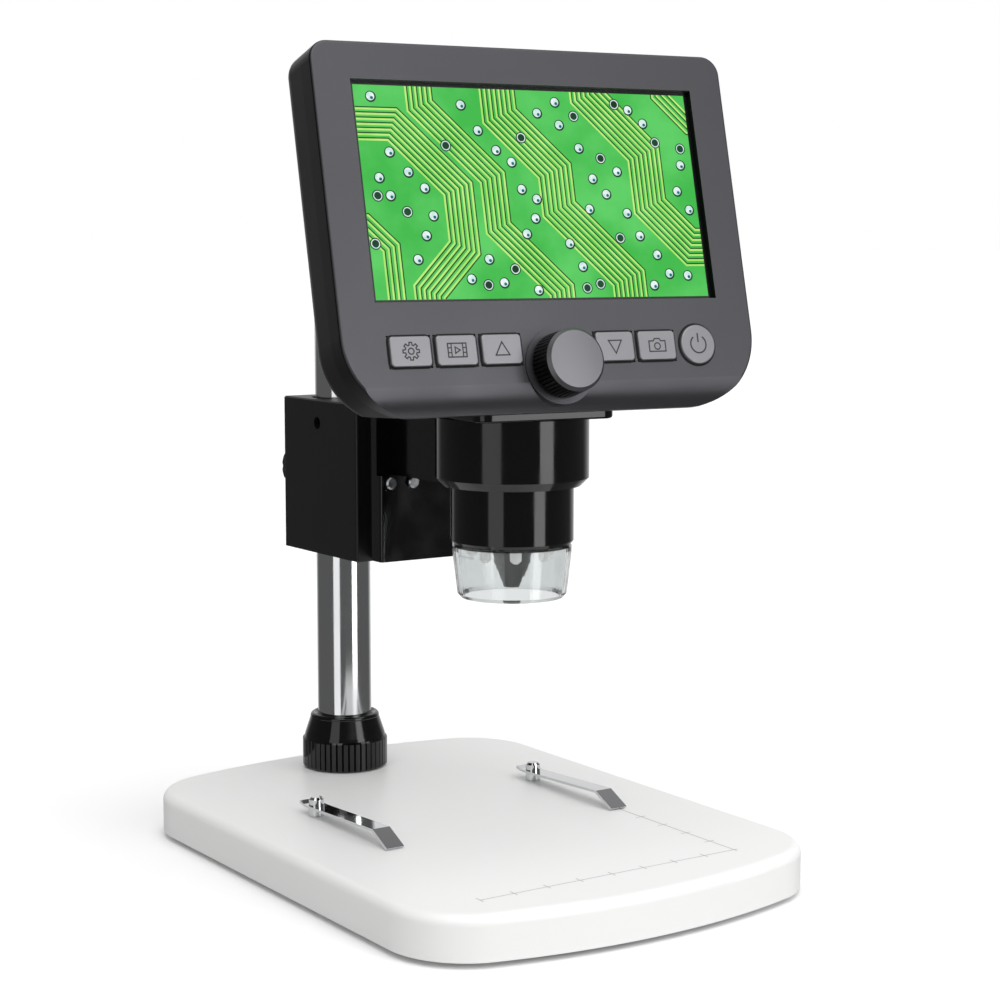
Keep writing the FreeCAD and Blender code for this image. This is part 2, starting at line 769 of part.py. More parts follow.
def led_board():
    body = new_body("led_board", 0, barrel_y, base_top + barrel_lift + 1.6)
    ring = new_sketch(body, "XY_Plane")
    draw_circle(ring, 0, 0, barrel_radius - barrel_wall - 0.02)
    draw_circle(ring, 0, 0, cone_radius + 0.3)
    pad(body, ring, 1.2)
    return body


def led_lamps():
    """Ring of domed lamps that hang from the board."""
    body = new_body("led_lamps", 0, barrel_y, base_top + barrel_lift + 1.6, yaw_turn)
    ring = new_sketch(body, "XY_Plane")
    for index in range(led_count):
        angle = 2 * math.pi * (index + 0.5) / led_count
        draw_circle(ring, led_circle * math.cos(angle), led_circle * math.sin(angle), led_radius)
    pad(body, ring, 5.0, reverse=True)
    chamfer(body, led_radius - 0.7, at_height(-5.0))
    return body


def lens_cone():
    body = new_body("lens_cone", 0, barrel_y, base_top)
    profile = new_sketch(body, "XZ_Plane")
    straight = cone_lift + 9.4
    draw_outline(profile, [(0.9, cone_lift), (cone_tip_radius, cone_lift), (cone_radius, straight),
                           (cone_radius, 84.0), (4.6, 84.0), (4.6, straight), (0.9, cone_lift + 1.2)])
    revolve(body, profile)
    return body


def objective_lens():
    body = new_body("objective_lens", 0, barrel_y, base_top)
    profile = new_sketch(body, "XZ_Plane")
    draw_outline(profile, [(0, 78.0), (0.8, 78.0), (4.58, 78.8, 2.8, 78.25), (4.58, 81.2),
                           (0.8, 82.0, 2.8, 81.75), (0, 82.0)])
    revolve(body, profile)
    return body


keep(barrel_sleeve())
keep(flange_plate())
keep(clear_cap())
keep(led_board())
keep(led_lamps())
keep(lens_cone())
keep(objective_lens())

# Focus drive: the knob's pinion meets a rack on the lens carriage, with teeth slanted to suit the tilted shaft
tilt = math.radians(float(head_tilt))
shaft_drop = math.tan(tilt)
knob_forward = float(head_forward) + float(knob_drop) * math.sin(tilt)
knob_lift = float(head_lift) - float(knob_drop) * math.cos(tilt)
pinion_lift = knob_lift - (knob_forward - float(pinion_forward)) * shaft_drop
head_turn = yaw_turn.multiply(FreeCAD.Rotation(FreeCAD.Vector(1, 0, 0), -float(head_tilt)))
yaw_angle = math.radians(float(head_yaw))
head_x = head_forward * math.sin(yaw_angle)
head_y = barrel_y - head_forward * math.cos(yaw_angle)
head_z = base_top + head_lift


def head_body(label):
    """Start a sub-part in the tilted frame of the screen head."""
    return new_body(label, head_x, head_y, head_z, head_turn)


def pinion_outline(sketch, module, teeth, phase):
    """Tapered teeth on a circle, one of them turned by phase."""
    pitch_radius = module * teeth / 2
    points = []
    for index in range(teeth):
        middle = phase + 2 * math.pi * index / teeth
        root = (pitch_radius - 1.2 * module, 0.42)
        pitch = (pitch_radius, 0.23)
        tip = (pitch_radius + 0.9 * module, 0.09)
        for radius, half in (root, pitch, tip):
            angle = middle - half * 2 * math.pi / teeth
            points.append((radius * math.cos(angle), radius * math.sin(angle)))
        for radius, half in (tip, pitch, root):
            angle = middle + half * 2 * math.pi / teeth
            points.append((radius * math.cos(angle), radius * math.sin(angle)))
    draw_outline(sketch, points)


def focus_shaft():
    """Steel shaft with its pinion, along the head's own Y."""
    body = head_body("focus_shaft")
    shaft = new_sketch(body, "XZ_Plane", knob_reach - 4.0)
    draw_circle(shaft, 0, -knob_drop, 1.5)
    pad(body, shaft, pinion_back + float(knob_reach) - 4.0, reverse=True)
    return body


def focus_pinion():
    body = head_body("focus_pinion")
    teeth = new_sketch(body, "XZ_Plane", -(pinion_back - 4.6))
    teeth.AttachmentOffset = FreeCAD.Placement(
        FreeCAD.Vector(0, -float(knob_drop), -(pinion_back - 4.6)), FreeCAD.Rotation())
    pinion_outline(teeth, float(gear_module), pinion_teeth, 0.0)
    pad(body, teeth, 4.2, reverse=True)
    bore = new_sketch(body, "XZ_Plane", -(pinion_back - 6.0))
    draw_circle(bore, 0, -knob_drop, 1.5)
    pocket(body, bore, symmetric=True)
    return body


def lens_carriage():
    """Lens tube clamp with a side arm and a post that reaches up past the pinion."""
    body = new_body("lens_carriage", 0, barrel_y, base_top, yaw_turn)
    tube = new_sketch(body, "XY_Plane", 84.0)
    draw_circle(tube, 0, 0, 7.4)
    draw_circle(tube, 0, 0, 4.6)
    pad(body, tube, 8.0)
    arm = new_sketch(body, "XY_Plane", 88.2)
    draw_box(arm, rack_left, -12.2, 7.2, -2.0)
    pad(body, arm, 4.0)
    post = new_sketch(body, "XY_Plane", 88.2)
    draw_box(post, rack_left, -12.2, 7.2, -9.4)
    pad(body, post, 41.0)
    core = new_sketch(body, "XY_Plane", 80.0)
    draw_circle(core, 0, 0, 4.65)
    pocket(body, core, 20.0, reverse=True)
    return body


def focus_rack():
    """Rack on the carriage's post. Its teeth lie along the head's Y, so they are slanted on the post."""
    body = head_body("focus_rack")
    pitch = math.pi * float(gear_module)
    pitch_line = float(gear_module) * pinion_teeth / 2
    tip = pitch_line - 0.8 * float(gear_module)
    root = pitch_line + 1.3 * float(gear_module)
    points = [(rack_left, -float(knob_drop) - 4.0 * pitch), (rack_left, -float(knob_drop) + 2.5 * pitch)]
    for index in range(2, -4, -1):
        middle = -float(knob_drop) + (index - 0.5) * pitch
        for x, half in ((root, 0.26), (tip, 0.06)):
            points.append((x, middle + half * pitch))
        for x, half in ((tip, 0.06), (root, 0.26)):
            points.append((x, middle - half * pitch))
    teeth = new_sketch(body, "XZ_Plane", -(pinion_back - 4.4))
    draw_outline(teeth, points)
    pad(body, teeth, 3.6, reverse=True)
    return body


pinion_back = (knob_forward - float(pinion_forward)) / math.cos(tilt) - float(screen_recess) + 2.0
rack_left = float(gear_module) * pinion_teeth / 2 + 1.3 * float(gear_module) + 0.9

keep(focus_shaft())
keep(focus_pinion())
keep(lens_carriage())
keep(focus_rack())


# Screen head: front cover with rolled lower edge, rear shell, screen, boards, keys and knob
front_face = -screen_recess
cover_corners = [(x, z) for x in (-46.0, 46.0) for z in (-26.0, 26.0)]


def head_outline(sketch, inset=0.0):
    """The head's outline: small top corners and large bottom ones."""
    half = head_half_width - inset
    top = head_top - inset
    bottom = -head_bottom + inset
    small = head_top_corner - inset
    large = head_bottom_corner - inset
    part = 1 - math.sqrt(0.5)
    draw_outline(sketch, [(half - small, top), (half, top - small, half - small * part, top - small * part),
                          (half, bottom + large),
                          (half - large, bottom, half - large * part, bottom + large * part),
                          (-half + large, bottom),
                          (-half, bottom + large, -half + large * part, bottom + large * part),
                          (-half, top - small),
                          (-half + small, top, -half + small * part, top - small * part)])


key_names = (("menu", -3.3), ("playback", -2.3), ("up", -1.3), ("down", 1.3), ("snapshot", 2.3))
power_x = 3.3 * key_pitch


def draw_keys(sketch, grow):
    for name, place_x in key_names:
        half = key_width / 2 + grow
        rise = key_height / 2 + grow
        middle = place_x * key_pitch
        draw_box(sketch, middle - half, -key_row - rise, middle + half, -key_row + rise)
    draw_circle(sketch, power_x, -key_row, power_radius + grow)


def front_cover():
    body = head_body("front_cover")
    outline = new_sketch(body, "XZ_Plane", screen_recess)
    head_outline(outline)
    pad(body, outline, screen_recess + seam_depth, reverse=True)
    fillet(body, 0.7, at_depth(front_face))
    inside = new_sketch(body, "XZ_Plane")
    head_outline(inside, head_wall)
    pocket(body, inside, seam_depth)
    inner_roll = new_sketch(body, "YZ_Plane")
    draw_outline(inner_roll, [(0.0, -roll_start - 1.0), (0.0, -head_bottom + 1.0),
                              (seam_depth, -head_bottom + 1.0), (seam_depth - 0.2, -head_bottom + 2.6),
                              (0.6, -roll_start - 2.0)])
    pad(body, inner_roll, 90.0, symmetric=True)
    roll = new_sketch(body, "YZ_Plane")
    middle_y = front_face + roll_depth * 0.22
    middle_z = -(roll_start + head_bottom) / 2 - 1.2
    draw_outline(roll, [(front_face - 1.0, -roll_start), (front_face - 1.0, -head_bottom - 1.0),
                        (front_face + roll_depth, -head_bottom - 1.0), (front_face + roll_depth, -head_bottom),
                        (front_face, -roll_start, middle_y, middle_z)])
    pocket(body, roll, head_half_width * 2 + 4, symmetric=True)
    boss = new_sketch(body, "XZ_Plane", screen_recess + 0.3)
    draw_circle(boss, 0, -knob_drop, boss_radius)
    pad(body, boss, screen_recess + 0.3 + 2.9, reverse=True)
    window = new_sketch(body, "XZ_Plane", screen_recess + 1)
    draw_box(window, -window_width / 2, -window_height / 2, window_width / 2, window_height / 2)
    pocket(body, window, screen_recess + 2)
    keys = new_sketch(body, "XZ_Plane", screen_recess + 1)
    draw_keys(keys, 0.0)
    pocket(body, keys, screen_recess + 4)
    bore = new_sketch(body, "XZ_Plane", screen_recess + 2)
    draw_circle(bore, 0, -knob_drop, 1.7)
    pocket(body, bore, screen_recess + 8)
    return body


def rear_shell():
    body = head_body("rear_shell")
    outline = new_sketch(body, "XZ_Plane", -seam_depth)
    head_outline(outline)
    pad(body, outline, head_depth - seam_depth, reverse=True)
    fillet(body, 6.0, at_depth(head_depth))
    inside = new_sketch(body, "XZ_Plane", -seam_depth)
    head_outline(inside, head_wall)
    pocket(body, inside, head_depth - seam_depth - head_wall)
    floor_cut = new_sketch(body, "YZ_Plane")
    level = (head_lift - flange_lift - flange_thickness - 0.02) / math.cos(tilt)
    slope = math.tan(tilt)
    draw_outline(floor_cut, [(-2.0, -level - 2.0 * slope), (-2.0, -level - 20.0), (30.0, -level - 20.0),
                             (30.0, -level + 30.0 * slope)])
    pocket(body, floor_cut, head_half_width * 2 + 4, symmetric=True)
    ports = new_sketch(body, "YZ_Plane", head_half_width + 1)
    for low, high, near, deep in ((6.0, 14.5, 7.6, 11.0), (-14.0, -1.0, 7.3, 9.8), (19.3, 30.7, 7.4, 10.4)):
        draw_box(ports, near, low, deep, high)
    pocket(body, ports, 5.0)
    passage = new_sketch(body, "XZ_Plane", -(head_depth + 1))
    draw_box(passage, -11.0, -60.0, 11.0, -32.0)
    pocket(body, passage, head_wall + 2.0, reverse=True)
    screw_holes = new_sketch(body, "XZ_Plane", -(head_depth + 1))
    for x, z in cover_corners:
        draw_circle(screw_holes, x, z, 1.15)
    pocket(body, screw_holes, head_wall + 2.0, reverse=True)
    return body


def neck_hood():
    """Moulded hump that covers the optics between the flange and the rear shell."""
    body = new_body("neck_hood", 0, barrel_y, base_top + flange_lift + flange_thickness, yaw_turn)
    profile = new_sketch(body, "YZ_Plane")
    run = (float(head_forward) - float(head_depth) / math.cos(tilt) + float(head_lift - flange_lift - flange_thickness)
           * math.tan(tilt))
    draw_outline(profile, [(-run + 0.05, 0.0), (18.0, 0.0), (18.0, 9.0),
                           (40.0 * math.tan(tilt) - run + 0.05, 40.0, 13.0, 25.0)])
    pad(body, profile, 34.0, symmetric=True)
    hollow = new_sketch(body, "YZ_Plane")
    draw_outline(hollow, [(-run + 0.8, -1.0), (15.8, -1.0), (15.8, 9.0),
                          (36.0 * math.tan(tilt) - run + 0.8, 36.0, 11.2, 23.5)])
    pocket(body, hollow, 29.6, symmetric=True)
    fillet(body, 4.0, lambda edge: upright(edge) and edge.Vertexes[0].Point.y > 17)
    return body


def lcd_panel():
    body = head_body("lcd_panel")
    module = new_sketch(body, "XZ_Plane", -0.05)
    draw_box(module, -52.5, -33.0, 52.5, 33.4)
    pad(body, module, 3.0, reverse=True)
    return body


def head_plate(label, left, bottom, right, top, depth, thickness, holes=()):
    """A flat board or block inside the head."""
    body = head_body(label)
    outline = new_sketch(body, "XZ_Plane", -depth)
    draw_box(outline, left, bottom, right, top)
    for x, z, radius in holes:
        draw_circle(outline, x, z, radius)
    pad(body, outline, thickness, reverse=True)
    return body


def sensor_board():
    """Board with the image sensor, level over the barrel."""
    body = new_body("sensor_board", 0, barrel_y, base_top + 129.7, yaw_turn)
    outline = new_sketch(body, "XY_Plane")
    draw_box(outline, -8.0, -3.2, 8.0, 5.0)
    pad(body, outline, 1.2)
    chip = new_sketch(body, "XY_Plane")
    draw_box(chip, -4.0, -2.6, 4.0, 3.0)
    pad(body, chip, 0.8, reverse=True)
    return body


def key_cap(label, middle):
    """Rectangular key with softened edges."""
    body = head_body(label)
    cap = new_sketch(body, "XZ_Plane", screen_recess + key_proud)
    half = key_width / 2 - key_gap
    rise = key_height / 2 - key_gap
    draw_box(cap, middle - half, -key_row - rise, middle + half, -key_row + rise)
    pad(body, cap, screen_recess + key_proud + 0.6, reverse=True)
    fillet(body, 1.0, along_depth)
    fillet(body, 0.35, at_depth(-screen_recess - key_proud))
    return body


def power_key():
    body = head_body("key_power")
    cap = new_sketch(body, "XZ_Plane", screen_recess + key_proud)
    draw_circle(cap, power_x, -key_row, power_radius - key_gap)
    pad(body, cap, screen_recess + key_proud + 0.6, reverse=True)
    fillet(body, 0.4, at_depth(-screen_recess - key_proud))
    return body


def key_board():
    """Narrow board behind the keys, with one tact switch under each."""
    body = head_body("key_board")
    outline = new_sketch(body, "XZ_Plane", -3.0)
    draw_outline(outline, [(-46.5, -34.2), (-46.5, -45.6), (-3.2, -45.6), (-3.2, -40.5), (3.2, -40.5),
                           (3.2, -45.6), (46.5, -45.6), (46.5, -34.2)])
    pad(body, outline, 1.0, reverse=True)
    switches = new_sketch(body, "XZ_Plane", -3.0)
    for name, place_x in key_names:
        draw_circle(switches, place_x * key_pitch, -key_row, 1.6)
    draw_circle(switches, power_x, -key_row, 1.6)
    pad(body, switches, 1.6)
    return body


def focus_knob():
    """Tapered knob with fine flutes and a crowned face."""
    body = head_body("focus_knob")
    profile = new_sketch(body, "XY_Plane")
    near = screen_recess + 0.8
    draw_outline(profile, [(1.55, -near), (knob_radius - 0.3, -near), (knob_radius, -near - 0.3),
                           (knob_radius - 0.25, -knob_reach + 0.9), (knob_face_radius, -knob_reach),
                           (1.0, -knob_reach - 0.25, 4.2, -knob_reach - 0.17), (0, -knob_reach - 0.25),
                           (0, -knob_reach + 2.0),
                           (1.55, -knob_reach + 2.0)])
    revolve(body, profile)
    flute = new_sketch(body, "XZ_Plane", near)
    draw_outline(flute, [(knob_radius - 0.45, 0), (knob_radius + 0.4, -0.42), (knob_radius + 0.4, 0.42)])
    cut = pocket(body, flute, knob_reach - 1.2 - near, reverse=True)
    polar(body, cut, "Y_Axis", knob_ribs)
    return body


def dimmer_wheel():
    body = head_body("dimmer_wheel")
    disc = new_sketch(body, "XZ_Plane", -7.9)
    draw_circle(disc, 0, 0, 6.0)
    pad(body, disc, 2.0, reverse=True)
    notch = new_sketch(body, "XZ_Plane", -7.9)
    draw_circle(notch, 6.4, 0, 0.8)
    cut = pocket(body, notch, symmetric=True)
    polar(body, cut, "Y_Axis", 24)
    return body


keep(front_cover())
keep(rear_shell())
keep(neck_hood())
keep(lcd_panel())
keep(head_plate("main_board", -50.0, -30.0, 54.0, 32.0, 6.0, 1.4))
keep(head_plate("battery", -38.0, -24.0, 14.0, 12.0, 7.6, 5.4))
keep(key_board())
keep(head_plate("usb_port", 52.2, 6.4, 58.4, 14.1, 7.8, 2.8))
keep(head_plate("card_socket", 46.0, -13.8, 58.0, -1.2, 7.5, 2.0))
keep(head_plate("shaft_bracket", -7.0, -49.5, 7.0, -39.5, 5.2, 1.5, [(0, -knob_drop, 1.6)]))
keep(sensor_board())
for key_name, key_place in key_names:
    keep(key_cap("key_" + key_name, key_place * key_pitch))
keep(power_key())
knob = keep(focus_knob())
wheel = keep(dimmer_wheel())


def shift_in_head(item, x, y, z):
    """Move a turned piece to its place in the head's frame."""
    step = head_turn.multVec(FreeCAD.Vector(float(x), float(y), float(z)))
    place(item, head_x + step.x, head_y + step.y, head_z + step.z, head_turn)


shift_in_head(knob, 0, 0, -knob_drop)
shift_in_head(wheel, head_half_width - 5.2, 0, 25.0)

back_turn = head_turn.multiply(FreeCAD.Rotation(FreeCAD.Vector(1, 0, 0), 90))
cover_screws = keep(screws("cover_screws", cover_corners, 1.1, 2.1, 1.0, 6.0, back_turn))
shift_back = head_turn.multVec(FreeCAD.Vector(0, float(head_depth) + 0.0, 0))
place(cover_screws, head_x + shift_back.x, head_y + shift_back.y, head_z + shift_back.z, back_turn)

doc.recompute()
for item in doc.Objects:
    if "Invalid" in item.State or "Error" in item.State:
        raise RuntimeError("%s does not recompute" % item.Label)

os.makedirs("parts", exist_ok=True)
for item in parts:
    if item.Shape.isNull() or not item.Shape.isValid():
        raise RuntimeError("%s has no valid shape" % item.Label)
    item.Shape.exportStep("parts/%s.step" % item.Label)
print("%d parts written" % len(parts))
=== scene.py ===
import math

import bmesh
import bpy
from mathutils import Matrix, Vector


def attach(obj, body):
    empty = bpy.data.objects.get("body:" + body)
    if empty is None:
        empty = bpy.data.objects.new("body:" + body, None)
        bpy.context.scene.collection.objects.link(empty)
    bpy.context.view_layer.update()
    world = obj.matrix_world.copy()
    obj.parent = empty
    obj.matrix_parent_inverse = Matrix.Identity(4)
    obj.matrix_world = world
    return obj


# A digital microscope with a screen: white stage, chrome pole, sliding clamp, lens barrel and a tilted
# screen head. The frame gives the shapes. This script gives their finishes and adds the screen's picture,
# the marks on the keys and the ruler printed on the stage.

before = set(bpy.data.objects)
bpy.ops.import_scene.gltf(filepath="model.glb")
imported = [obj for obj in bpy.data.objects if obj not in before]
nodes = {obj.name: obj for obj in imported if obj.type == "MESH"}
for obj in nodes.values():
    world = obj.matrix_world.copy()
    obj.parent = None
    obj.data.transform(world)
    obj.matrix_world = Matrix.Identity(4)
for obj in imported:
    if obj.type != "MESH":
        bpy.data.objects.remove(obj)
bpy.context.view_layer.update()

MM = 0.001

# The screen head stands in its own frame: the screen's middle is its origin, X runs along the keys,
# Y goes into the head and Z up the screen
HEAD_YAW = -6.4
HEAD_TILT = 14.4
HEAD_MIDDLE = (-1.449, -34.419, 180.7)
head_place = (Matrix.Translation(Vector(HEAD_MIDDLE) * MM)
              @ Matrix.Rotation(math.radians(HEAD_YAW), 4, "Z")
              @ Matrix.Rotation(math.radians(-HEAD_TILT), 4, "X")
              @ Matrix.Scale(MM, 4))
stage_place = Matrix.Scale(MM, 4)


def linear(code):
    """An sRGB hex colour as the linear colour that nodes use."""
    channels = [int(code[start:start + 2], 16) / 255 for start in (1, 3, 5)]
    return tuple([c / 12.92 if c <= 0.04045 else ((c + 0.055) / 1.055) ** 2.4 for c in channels] + [1.0])


def add_node(tree, kind, settings=None, **inputs):
    """Add a node. Settings are its own properties; inputs are sockets, each a value or a socket to link."""
    node = tree.nodes.new(kind)
    for name, value in (settings or {}).items():
        setattr(node, name, value)
    for name, value in inputs.items():
        key = int(name[1:]) if name[0] == "i" and name[1:].isdigit() else name.replace("_", " ")
        socket = node.inputs[key]
        if isinstance(value, bpy.types.NodeSocket):
            tree.links.new(value, socket)
        else:
            socket.default_value = value
    return node


def start_material(name, colour, roughness, metallic=0.0):
    """A material with one principled shader, its tree, and the object's own coordinates."""
    material = bpy.data.materials.new(name)
    material.use_nodes = True
    tree = material.node_tree
    tree.nodes.clear()
    shader = add_node(tree, "ShaderNodeBsdfPrincipled", Base_Color=linear(colour), Roughness=roughness,
                      Metallic=metallic)
    add_node(tree, "ShaderNodeOutputMaterial", Surface=shader.outputs["BSDF"])
    place = add_node(tree, "ShaderNodeTexCoord").outputs["Object"]
    return material, tree, shader, place


def grain_bump(tree, shader, place, grain_mm, depth_mm, stretch=(1, 1, 1)):
    """Raise a fine noise with grains of a real size in millimetres."""
    scale = 1.0 / (grain_mm * MM)
    spread = add_node(tree, "ShaderNodeMapping", Vector=place, Scale=[scale * part for part in stretch])
    noise = add_node(tree, "ShaderNodeTexNoise", Vector=spread.outputs["Vector"], Scale=1.0, Detail=2.0)
    bump = add_node(tree, "ShaderNodeBump", Height=noise.outputs["Fac"], Strength=1.0,
                    Distance=depth_mm * MM)
    tree.links.new(bump.outputs["Normal"], shader.inputs["Normal"])
    return noise


def vary(tree, shader, place, socket, patch_mm, low, high):
    """Drift a socket between two values in patches of a real size, as handling and moulding leave it."""
    noise = add_node(tree, "ShaderNodeTexNoise", Vector=place, Scale=1.0 / (patch_mm * MM), Detail=3.0)
    if socket == "Base Color":
        drift = add_node(tree, "ShaderNodeMix", {"data_type": "RGBA"}, Factor=noise.outputs["Fac"],
                         i6=linear(low), i7=linear(high))
        tree.links.new(drift.outputs[2], shader.inputs[socket])
    else:
        drift = add_node(tree, "ShaderNodeMapRange", Value=noise.outputs["Fac"], From_Min=0.3, From_Max=0.7,
                         To_Min=low, To_Max=high)
        tree.links.new(drift.outputs["Result"], shader.inputs[socket])
    return drift


def moulded_white_abs():
    """ABS from a spark-eroded tool: satin white with a fine even grain."""
    material, tree, shader, place = start_material("moulded_white_abs", "#F1F1F0", 0.36)
    grain_bump(tree, shader, place, 0.35, 0.012)
    vary(tree, shader, place, "Roughness", 28.0, 0.33, 0.41)
    vary(tree, shader, place, "Base Color", 60.0, "#EFEFEE", "#F3F3F2")
    return material


def charcoal_lacquer(name, colour, lighter, roughness):
    """Sprayed satin lacquer with fine metal flake: it lifts towards the light and goes dark away from it."""
    material, tree, shader, place = start_material(name, colour, roughness, metallic=0.75)
    grain_bump(tree, shader, place, 0.22, 0.006)
    vary(tree, shader, place, "Roughness", 22.0, roughness - 0.03, roughness + 0.04)
    vary(tree, shader, place, "Base Color", 45.0, colour, lighter)
    return material


def tone_and_painted_shade_by_side(tree, shader, direction, away, towards, start):
    """Give the surfaces that look along a direction of the head their own colour: the knob's second paint
    tone, and painted shade on the cover's left side.
    """
    normal = add_node(tree, "ShaderNodeTexCoord").outputs["Normal"]
    outward = (head_place.to_3x3() @ Vector(direction)).normalized()
    facing = add_node(tree, "ShaderNodeVectorMath", {"operation": "DOT_PRODUCT"}, i0=normal, i1=outward)
    mask = add_node(tree, "ShaderNodeMapRange", Value=facing.outputs["Value"], From_Min=start, From_Max=0.9)
    shade = add_node(tree, "ShaderNodeMix", {"data_type": "RGBA"}, Factor=mask.outputs["Result"],
                     i6=linear(away), i7=linear(towards))
    tree.links.new(shade.outputs[2], shader.inputs["Base Color"])


def knob_lacquer():
    """Black ribs and a lighter sprayed face, which makes the knob read as two parts."""
    material, tree, shader, place = start_material("knob_lacquer", "#101011", 0.4, metallic=0.7)
    grain_bump(tree, shader, place, 0.22, 0.004)
    tone_and_painted_shade_by_side(tree, shader, (0, -1, 0), "#101011", "#7C7C80", 0.4)
    return material


def cover_lacquer():
    """Sprayed satin lacquer with metal flake. Its left side is painted dark to stand in for shade."""
    material, tree, shader, place = start_material("cover_lacquer", "#535357", 0.38, metallic=0.75)
    grain_bump(tree, shader, place, 0.22, 0.006)
    vary(tree, shader, place, "Roughness", 22.0, 0.35, 0.42)
    tone_and_painted_shade_by_side(tree, shader, (-1, 0, 0), "#535357", "#1C1C1E", 0.3)
    return material


def polished_black_abs():
    """ABS from a polished tool: piano black, nearly a mirror at a glance, with faint wipe marks."""
    material, tree, shader, place = start_material("polished_black_abs", "#050506", 0.10)
    vary(tree, shader, place, "Roughness", 9.0, 0.07, 0.15)
    vary(tree, shader, place, "Base Color", 30.0, "#040405", "#070708")
    return material


def chromed_steel(name, roughness, lay):
    """Chrome plate on ground steel: the grinding marks show as faint lines round or along the part."""
    material, tree, shader, place = start_material(name, "#D9DADC", roughness, metallic=1.0)
    grain_bump(tree, shader, place, 0.4, 0.0006, lay)
    vary(tree, shader, place, "Roughness", 14.0, roughness * 0.7, roughness * 1.6)
    return material


def zinc_plated_steel():
    """Zinc plate: a bright grey with a fine crystal drift."""
    material, tree, shader, place = start_material("zinc_plated_steel", "#A9ABAE", 0.3, metallic=1.0)
    vary(tree, shader, place, "Roughness", 1.6, 0.22, 0.4)
    vary(tree, shader, place, "Base Color", 3.0, "#9DA0A4", "#B8BABC")
    return material


def clear_acrylic():
    """Moulded acrylic: clear with a grey cast, and drawn ripples that show as upright streaks."""
    material, tree, shader, place = start_material("clear_acrylic", "#E4E7E7", 0.06)
    shader.inputs["IOR"].default_value = 1.49
    shader.inputs["Transmission Weight"].default_value = 1.0
    grain_bump(tree, shader, place, 2.4, 0.09, (1, 1, 0.06))
    return material


def optical_glass():
    """Coated lens glass: clear with a cold tint."""
    material, tree, shader, place = start_material("optical_glass", "#E6F0FA", 0.0)
    shader.inputs["IOR"].default_value = 1.52
    shader.inputs["Transmission Weight"].default_value = 1.0
    grain_bump(tree, shader, place, 8.0, 0.002)
    return material


LAMP_STRENGTH = 0.3


def lamp_epoxy():
    """Clear epoxy round a white chip that is lit."""
    material, tree, shader, place = start_material("lamp_epoxy", "#C4C4C0", 0.15)
    shader.inputs["Emission Color"].default_value = linear("#FFFFFF")
    shader.inputs["Emission Strength"].default_value = LAMP_STRENGTH
    vary(tree, shader, place, "Base Color", 0.8, "#B4B4B0", "#CECECA")
    return material


def solder_masked_board():
    """Glass-epoxy board under green solder mask."""
    material, tree, shader, place = start_material("solder_masked_board", "#1F5A3A", 0.3)
    grain_bump(tree, shader, place, 0.5, 0.01)
    vary(tree, shader, place, "Base Color", 4.0, "#194E31", "#256645")
    return material


def plain_moulding(name, low, high, roughness, grain_mm=0.3, depth_mm=0.01):
    """Any other moulded piece: a colour that drifts a little, and a grain."""
    material, tree, shader, place = start_material(name, low, roughness)
    grain_bump(tree, shader, place, grain_mm, depth_mm)
    vary(tree, shader, place, "Base Color", 12.0, low, high)
    return material


def dress(material, *names):
    """Give nodes of the frame a material."""
    for name in names:
        for held in nodes[name].material_slots:
            held.material = material


white_abs = moulded_white_abs()
head_paint = cover_lacquer()
shell_paint = charcoal_lacquer("dark_lacquer", "#2B2B2D", "#303032", 0.4)
key_paint = charcoal_lacquer("grey_lacquer", "#88888C", "#909094", 0.4)
knob_paint = knob_lacquer()
black_gloss = polished_black_abs()
black_satin = plain_moulding("moulded_black_nylon", "#0C0C0D", "#101011", 0.42)
cone_black = plain_moulding("anodised_aluminium", "#3C3C3D", "#444445", 0.4)
pole_chrome = chromed_steel("chromed_pole_tube", 0.09, (1, 1, 0.02))
clip_chrome = chromed_steel("chromed_spring_steel", 0.05, (1, 0.05, 1))
zinc = zinc_plated_steel()
rubber = plain_moulding("moulded_rubber", "#232323", "#2B2B2B", 0.8)
nylon = plain_moulding("natural_nylon", "#D9D8D2", "#E2E1DA", 0.5)
acrylic = clear_acrylic()
glass = optical_glass()
lamps = lamp_epoxy()
board = solder_masked_board()
brass = start_material("turned_brass", "#B59A4C", 0.3, metallic=1.0)[0]
cell_wrap = plain_moulding("shrink_wrap_film", "#2F6199", "#3A6FA8", 0.25)
screen_edge = plain_moulding("black_display_border", "#0A0B0B", "#0E0F0F", 0.25)
grey_abs = plain_moulding("moulded_grey_tray", "#C4C6C6", "#CBCDCD", 0.5)

dress(white_abs, "base_shell")
dress(grey_abs, "base_bottom_plate")
dress(zinc, "ballast_plate", "base_screws", "pole_bolt", "bracket_screws", "cover_screws", "lock_stud",
      "focus_shaft", "shaft_bracket", "usb_port", "card_socket")
dress(rubber, "rubber_feet")
dress(pole_chrome, "pole", "pole_cap")
dress(clip_chrome, "clip_strip_left", "clip_strip_right", "clip_post_left", "clip_post_right")
dress(black_gloss, "pole_collar", "ring_bracket", "barrel_sleeve", "flange_plate")
dress(black_satin, "clamp_block", "bracket_neck", "lock_knob", "dimmer_wheel")
dress(cone_black, "lens_cone")
dress(nylon, "clamp_liner", "lock_pad", "lens_carriage", "focus_rack")
dress(acrylic, "clear_cap")
dress(glass, "objective_lens")
dress(lamps, "led_lamps")
dress(board, "led_board", "main_board", "key_board", "sensor_board")
dress(brass, "focus_pinion")
dress(cell_wrap, "battery")
dress(head_paint, "front_cover")
dress(shell_paint, "rear_shell", "neck_hood")
dress(key_paint, "key_menu", "key_playback", "key_up", "key_down", "key_snapshot", "key_power")
dress(knob_paint, "focus_knob")
dress(screen_edge, "lcd_panel")


# Thin pieces are drawn flat in millimetres, X across and Y up, with their thickness along +Z.
# On the head +Z comes out of the screen; on the stage it points up.
face_place = head_place @ Matrix.Rotation(math.radians(90), 4, "X")


